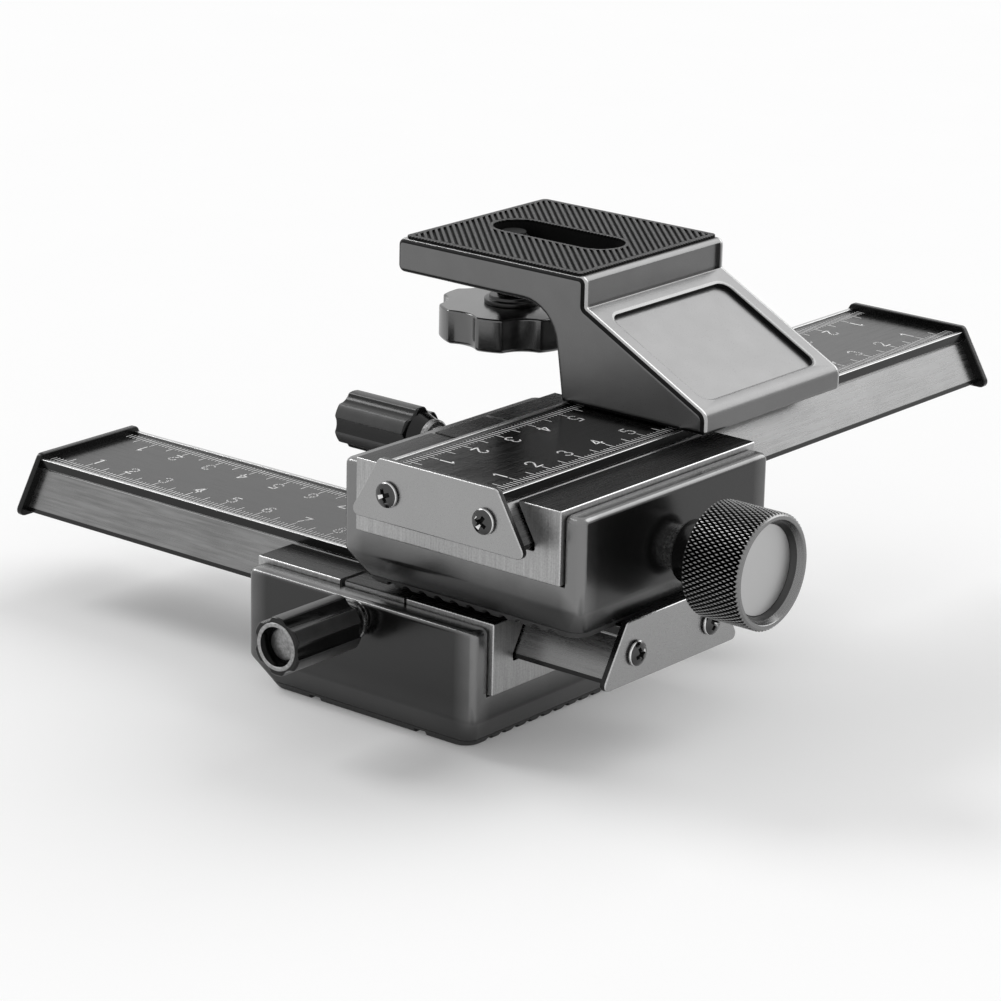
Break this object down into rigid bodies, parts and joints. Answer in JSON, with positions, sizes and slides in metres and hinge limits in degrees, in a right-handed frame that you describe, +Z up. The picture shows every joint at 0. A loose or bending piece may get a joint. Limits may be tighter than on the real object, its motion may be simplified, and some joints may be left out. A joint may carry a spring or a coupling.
{
  "type": "macro focusing rail",
  "caption": "two-axis macro focusing rail with crossed dovetail slides, rack-and-pinion knobs, locking knobs and a slotted camera bracket",
  "frame": {"origin": "centre of the tripod thread's mouth in the foot of the lower carriage", "axes": "+X runs along the lower rail, +Y along the upper rail towards its far end, +Z up"},
  "size_m": [0.1867, 0.1807, 0.0854],
  "materials": {
    "cast_paint": "satin black paint on a casting",
    "machined_metal": "machined dark aluminium",
    "base_rubber": "moulded ribbed rubber",
    "platform_rubber": "finely ribbed rubber",
    "steel": "plain turned steel",
    "rail_metal": "dark anodised and brushed aluminium",
    "plate_metal": "satin grey paint",
    "chrome_screws": "bright plated",
    "black_plastic": "glossy black moulding",
    "knurled_metal": "black anodised, diamond knurl",
    "pale_metal": "fine blasted, pale grey",
    "knob_metal": "satin dark grey"
  },
  "bodies": {
    "base": {"lower_carriage": "cast_paint", "lower_clamp_shoe": "machined_metal", "lower_base_pad": "base_rubber", "lower_thread_insert": "steel", "lower_shaft_bushing": "steel"},
    "lower_slide": {"lower_rail": "rail_metal", "lower_rack": "steel", "lower_end_plate_a": "plate_metal", "lower_end_plate_b": "plate_metal", "lower_plate_screws": "chrome_screws", "carriage_bolt": "steel", "carriage_dowel": "steel", "upper_carriage": "cast_paint", "upper_clamp_shoe": "machined_metal", "upper_base_pad": "base_rubber", "upper_thread_insert": "steel", "upper_shaft_bushing": "steel"},
    "lower_drive": {"lower_pinion_shaft": "steel", "lower_shaft_clip": "steel", "lower_drive_collar": "black_plastic", "lower_drive_set_screw": "steel", "lower_drive_knob": "knurled_metal", "lower_drive_disc": "pale_metal"},
    "lower_lock": {"lower_lock_screw": "steel", "lower_lock_knob": "black_plastic", "lower_lock_ring": "pale_metal", "lower_lock_cap": "pale_metal"},
    "upper_slide": {"upper_rail": "rail_metal", "upper_rack": "steel", "upper_end_plate_a": "plate_metal", "upper_end_plate_b": "plate_metal", "upper_plate_screws": "chrome_screws", "bracket": "cast_paint", "bracket_screws": "steel", "platform_pad": "platform_rubber"},
    "upper_drive": {"upper_pinion_shaft": "steel", "upper_shaft_clip": "steel", "upper_drive_collar": "black_plastic", "upper_drive_set_screw": "steel", "upper_drive_knob": "knurled_metal", "upper_drive_disc": "pale_metal"},
    "upper_lock": {"upper_lock_screw": "steel", "upper_lock_knob": "black_plastic", "upper_lock_ring": "pale_metal", "upper_lock_cap": "pale_metal"},
    "slot_runner": {"slot_washer": "steel"},
    "screw_lift": {"screw_clip": "steel"},
    "camera_screw_turn": {"camera_screw": "steel", "camera_screw_collar": "black_plastic", "thumb_knob": "knob_metal"}
  },
  "joints": [
    {"name": "lower_travel", "type": "slide", "parent": "base", "child": "lower_slide", "axis": [1, 0, 0], "range_m": [-0.0225, 0.0737]},
    {"name": "lower_drive_turn", "type": "hinge", "parent": "base", "child": "lower_drive", "pos_m": [0, 0, 0.0133], "axis": [0, 1, 0], "range_deg": [-231, 755]},
    {"name": "lower_lock_turn", "type": "hinge", "parent": "base", "child": "lower_lock", "pos_m": [0, 0, 0.0222], "axis": [0, 1, 0], "range_deg": [0, 100]},
    {"name": "upper_travel", "type": "slide", "parent": "lower_slide", "child": "upper_slide", "axis": [0, 1, 0], "range_m": [-0.092, 0.0041]},
    {"name": "upper_drive_turn", "type": "hinge", "parent": "lower_slide", "child": "upper_drive", "pos_m": [0.02565, 0, 0.04205], "axis": [1, 0, 0], "range_deg": [-43, 942]},
    {"name": "upper_lock_turn", "type": "hinge", "parent": "lower_slide", "child": "upper_lock", "pos_m": [0.02565, 0, 0.05095], "axis": [1, 0, 0], "range_deg": [0, 100]},
    {"name": "screw_along_slot", "type": "slide", "parent": "upper_slide", "child": "slot_runner", "axis": [1, 0, 0], "range_m": [0, 0.0125]},
    {"name": "screw_rise", "type": "slide", "parent": "slot_runner", "child": "screw_lift", "axis": [0, 0, 1], "range_m": [0, 0.0042]},
    {"name": "thumb_knob_turn", "type": "hinge", "parent": "screw_lift", "child": "camera_screw_turn", "pos_m": [-0.02215, 0.04395, 0.0679], "axis": [0, 0, 1], "continuous": true}
  ],
  "couplings": [
    {"joint": "lower_drive_turn", "follows": "lower_travel", "rad_per_m": 178.57},
    {"joint": "upper_drive_turn", "follows": "upper_travel", "rad_per_m": -178.57}
  ]
}
